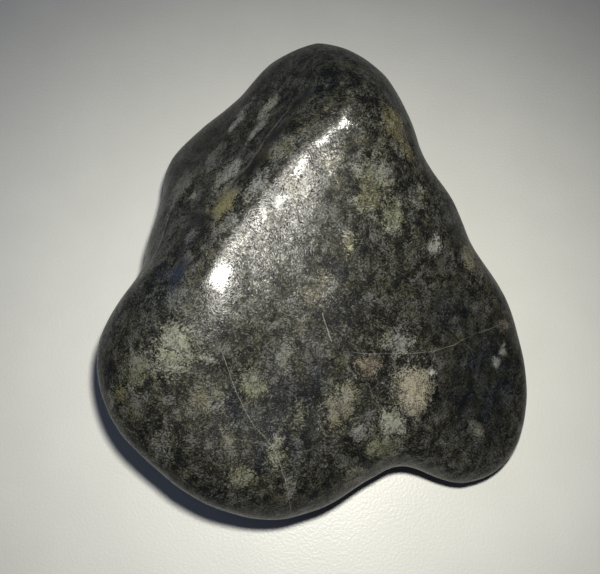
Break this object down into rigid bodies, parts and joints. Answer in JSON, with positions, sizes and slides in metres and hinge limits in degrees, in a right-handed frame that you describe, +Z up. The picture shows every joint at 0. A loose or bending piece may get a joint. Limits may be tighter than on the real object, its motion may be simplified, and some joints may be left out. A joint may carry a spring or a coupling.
{
  "type": "ironstone",
  "caption": "Palm-sized dark polished river stone with a rounded triangular outline, a long ridge, a creased shoulder beside it and a worn resting flat.",
  "frame": {"origin": "middle of the bounding box, on the surface that the stone rests on", "axes": "+Y along the longest way across the stone, from its broad end to its narrow end; +X to the side of the lower lobe; +Z up from the resting flat"},
  "size_m": [0.0908, 0.1028, 0.0469],
  "materials": {
    "dark_polished_stone": "satin polish with pale olive mottling and fine pale veins"
  },
  "bodies": {
    "root": {"ironstone": "dark_polished_stone"}
  },
  "joints": []
}
